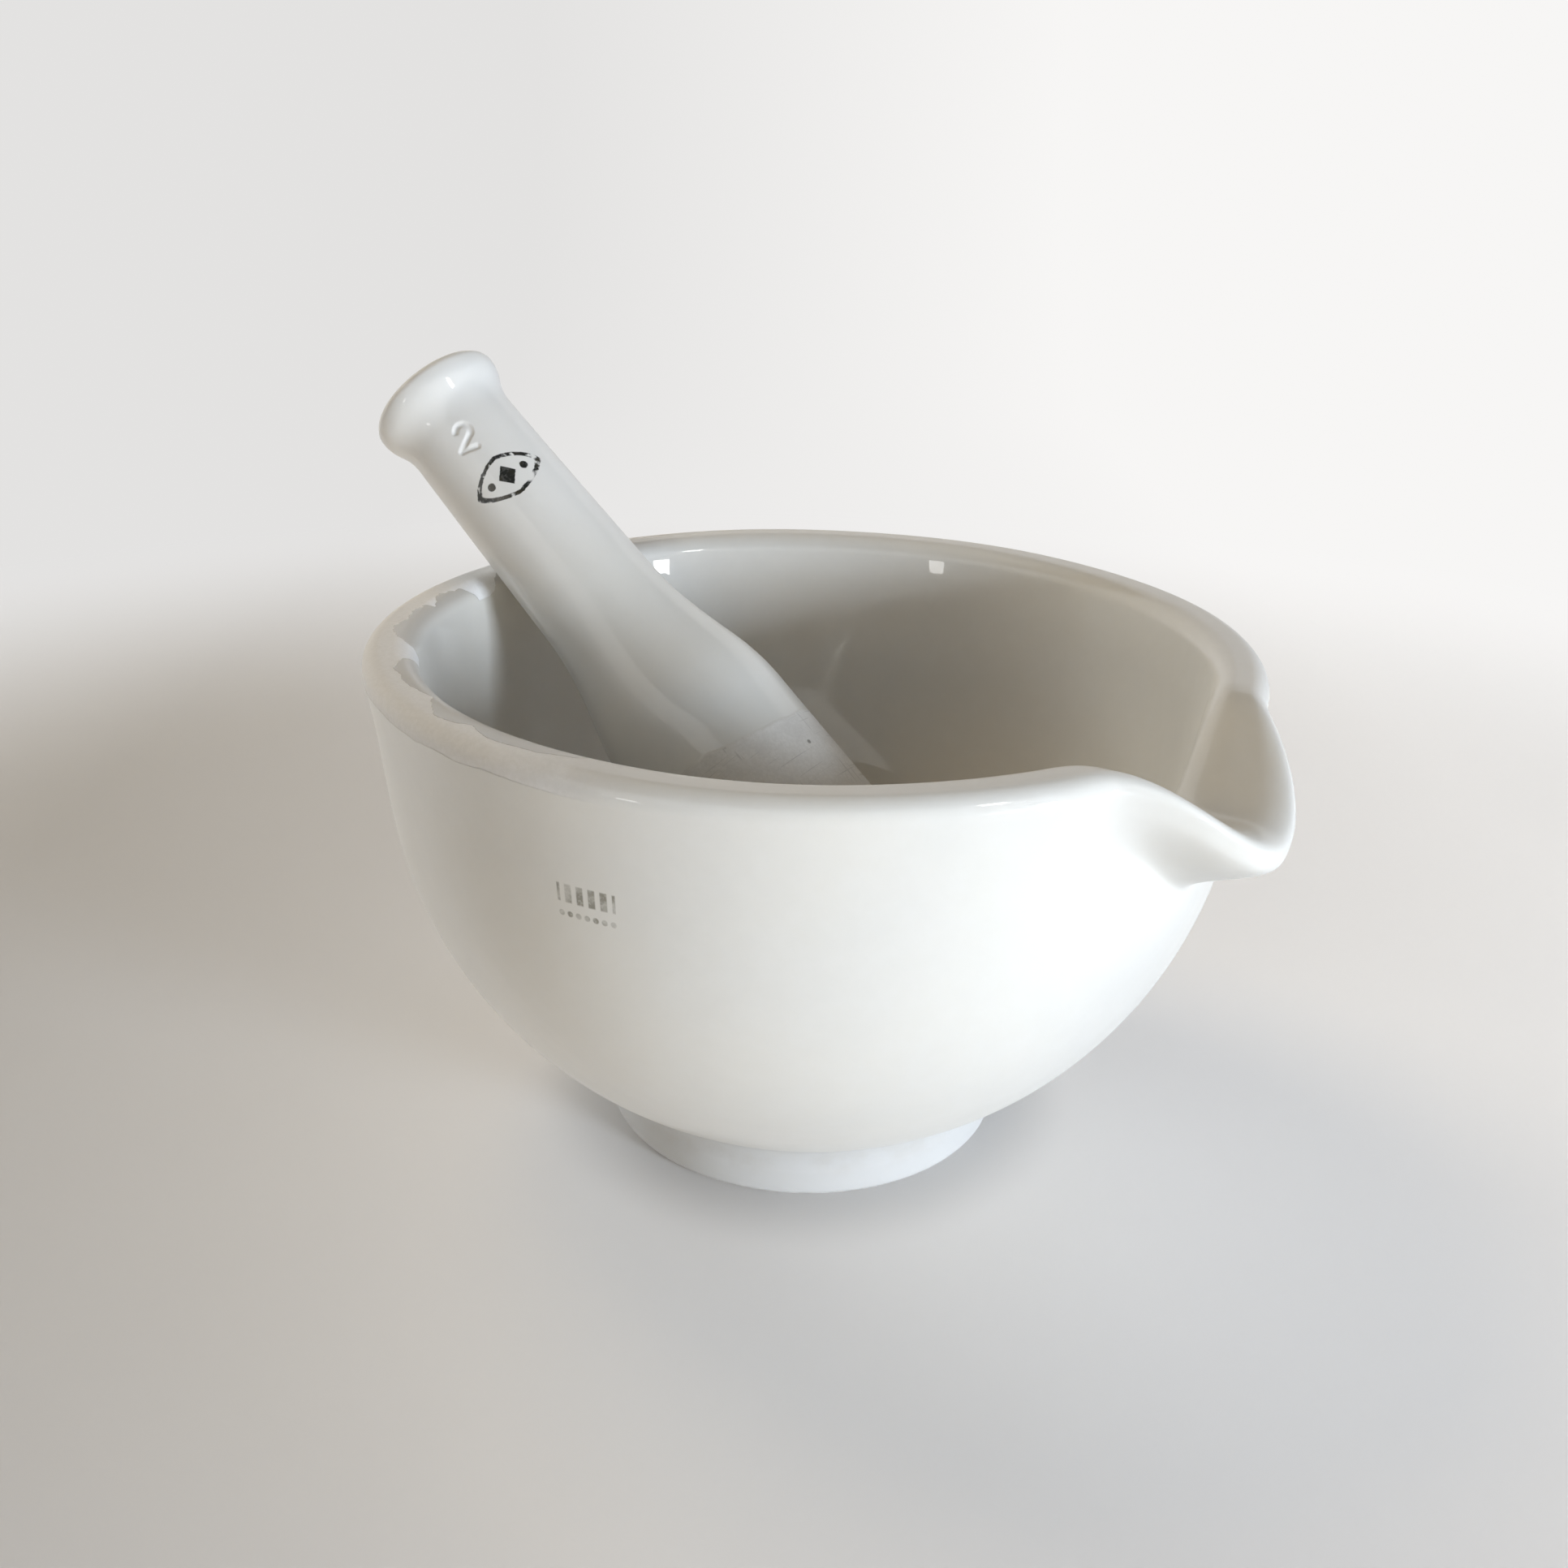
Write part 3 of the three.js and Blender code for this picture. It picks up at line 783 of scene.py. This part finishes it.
def floor_material():
    """A pale floor with a glow of its own. Far from the pieces, the camera sees only that glow."""
    graph = Graph("floor")
    place = graph.place()
    x, y, z = graph.split(place)
    ray = graph.node("ShaderNodeLightPath", {}).outputs
    distance = graph.length(x, y)
    far = graph.step(distance, FAR_START, FAR_END)
    far_seen = graph.times(ray["Is Camera Ray"], far)

    ramp = {"Value": graph.along(x, y, RIGHT), "From Min": -RIGHT_REACH, "From Max": RIGHT_REACH}
    to_right = graph.node("ShaderNodeMapRange", {**ramp, "To Min": -1, "To Max": 1}).outputs[0]
    near_glow = graph.larger(graph.add(NEAR_GLOW, graph.times(to_right, NEAR_GLOW_CHANGE)), 0.0)
    shade = graph.blend(graph.step(distance, SHADE_START, SHADE_END), SHADED_SHARE, 1.0)
    far_glow = graph.add(FAR_GLOW, graph.times(to_right, FAR_GLOW_CHANGE))
    glow = graph.blend(far, graph.times(near_glow, shade), far_glow)

    in_front = graph.step(graph.along(x, y, FRONT), -FRONT_REACH, FRONT_REACH)
    bounce = graph.times(in_front, graph.invert(far), BOUNCE)
    low_shine = graph.blend(in_front, BACK_SHINE, FRONT_LOW_SHINE)
    high_shine = graph.blend(in_front, BACK_SHINE, FRONT_HIGH_SHINE)
    shine = graph.blend(graph.step(z, HIGH_SHINE_START, HIGH_SHINE_END), low_shine, high_shine)

    pale = graph.mix(graph.noise(place, 40, 4), FLOOR_GREY, FLOOR_PALE)
    return graph.finish(
        Base_Color=graph.mix(far_seen, pale, BLACK),
        Roughness=0.75,
        Specular_IOR_Level=graph.blend(far_seen, 0.5, 0.0),
        Emission_Color=GLOW_WHITE,
        Emission_Strength=graph.add(
            graph.times(ray["Is Camera Ray"], glow),
            graph.times(ray["Is Glossy Ray"], shine),
            graph.times(ray["Is Diffuse Ray"], bounce),
        ),
    )


def make_floor():
    """A pale floor that curves up into a pale wall all round, well outside every camera."""
    profile = np.concatenate([
        line([0.0, 0.0], [FLOOR_RADIUS, 0.0], 8)[1:],
        arc(FLOOR_RADIUS, FLOOR_SWEEP, FLOOR_SWEEP, -90, 0, 16),
        [[FLOOR_RADIUS + FLOOR_SWEEP, BACKDROP_TOP]],
    ])
    azimuths = np.linspace(0, 2 * np.pi, FLOOR_SIDES, endpoint=False)
    vertices = [(0, 0, 0)]
    for r, z in profile:
        vertices += [(r * math.cos(a), r * math.sin(a), z) for a in azimuths]
    sides = [(i, (i + 1) % FLOOR_SIDES) for i in range(FLOOR_SIDES)]
    faces = [(0, 1 + a, 1 + b) for a, b in sides]
    for ring in range(len(profile) - 1):
        low = 1 + ring * FLOOR_SIDES
        high = low + FLOOR_SIDES
        faces += [(low + a, high + a, high + b, low + b) for a, b in sides]
    mesh = bpy.data.meshes.new("floor")
    mesh.from_pydata(vertices, [], faces)
    mesh.shade_smooth()
    mesh.materials.append(floor_material())
    obj = bpy.data.objects.new("floor", mesh)
    bpy.context.scene.collection.objects.link(obj)


def softbox(name, azimuth, elevation, width, height, power, colour):
    """A rectangular light that faces the mortar. Angles in degrees, lengths in metres, power in watts."""
    light = bpy.data.lights.new(name, "AREA")
    light.shape = "RECTANGLE"
    light.size = width
    light.size_y = height
    light.energy = power
    light.color = colour
    obj = bpy.data.objects.new(name, light)
    a = math.radians(azimuth)
    e = math.radians(elevation)
    away = Vector((math.cos(a) * math.cos(e), math.sin(a) * math.cos(e), math.sin(e)))
    obj.location = Vector((0, 0, LIGHT_AIM_Z)) + away * LIGHT_DISTANCE
    obj.rotation_euler = away.to_track_quat("Z", "Y").to_euler()
    obj.visible_camera = False
    bpy.context.scene.collection.objects.link(obj)
    return obj


def make_lights():
    """A low key light at the spout's side, four weaker lights round it, and three small bright panes.

    The wide lights don't show in the glaze. The panes show only there.
    """
    wide = (
        ("key", 0, 6, 0.2, 0.2, 6.9, (0.89, 1.0, 1.14)),
        ("fill", 180, 28, 0.35, 0.35, 2.4, (0.98, 1.0, 0.98)),
        ("top", 180, 58, 0.35, 0.35, 1.35, (1.3, 1.0, 0.6)),
        ("front", -45, 6, 0.35, 0.2, 0.6, (1.3, 1.0, 0.55)),
        ("back", 90, 58, 0.35, 0.35, 0.3, (0.86, 1.0, 1.28)),
    )
    for name, azimuth, elevation, width, height, power, colour in wide:
        light = softbox(name, azimuth, elevation, width, height, power, colour)
        light.visible_glossy = False
    panes = (
        ("pane_right", 2, 6, 0.08, 0.09, 0.6),
        ("pane_left", -91, 9, 0.08, 0.09, 0.16),
        ("pane_high", -6, 34, 0.1, 0.1, 0.5),
    )
    for name, azimuth, elevation, width, height, power in panes:
        pane = softbox(name, azimuth, elevation, width, height, power, (1.0, 0.99, 0.97))
        pane.visible_diffuse = False


def make_world():
    """No light but the lamps and the floor's own glow."""
    world = bpy.data.worlds.new("studio")
    world.use_nodes = True
    world.node_tree.nodes["Background"].inputs["Strength"].default_value = 0
    bpy.context.scene.world = world


def make_camera():
    """The camera stands in front and a little above, with the spout on its right."""
    level = Vector((-math.sin(CAMERA_YAW), math.cos(CAMERA_YAW), 0))
    forward = level * math.cos(CAMERA_PITCH) - Vector((0, 0, math.sin(CAMERA_PITCH)))
    camera = bpy.data.cameras.new("camera")
    camera.sensor_width = CAMERA_SENSOR
    camera.lens = CAMERA_LENS
    camera.clip_start = CAMERA_NEAREST
    obj = bpy.data.objects.new("camera", camera)
    obj.rotation_mode = "QUATERNION"
    upright = forward.to_track_quat("-Z", "Y")
    obj.rotation_quaternion = upright @ Matrix.Rotation(CAMERA_ROLL, 3, "Z").to_quaternion()
    obj.location = Vector(CAMERA_PLACE) * MM
    bpy.context.scene.collection.objects.link(obj)
    bpy.context.scene.camera = obj


# ---------------------------------------------------------------- the scene

mortar = make_mortar()
mortar.data.materials.append(mortar_material())
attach(mortar, "mortar")
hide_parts("mortar")

pestle = make_pestle()
pestle.data.materials.append(pestle_material())
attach(pestle, "pestle")
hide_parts("pestle")

make_floor()
make_world()
make_lights()
make_camera()
bpy.context.scene.view_settings.view_transform = "Standard"
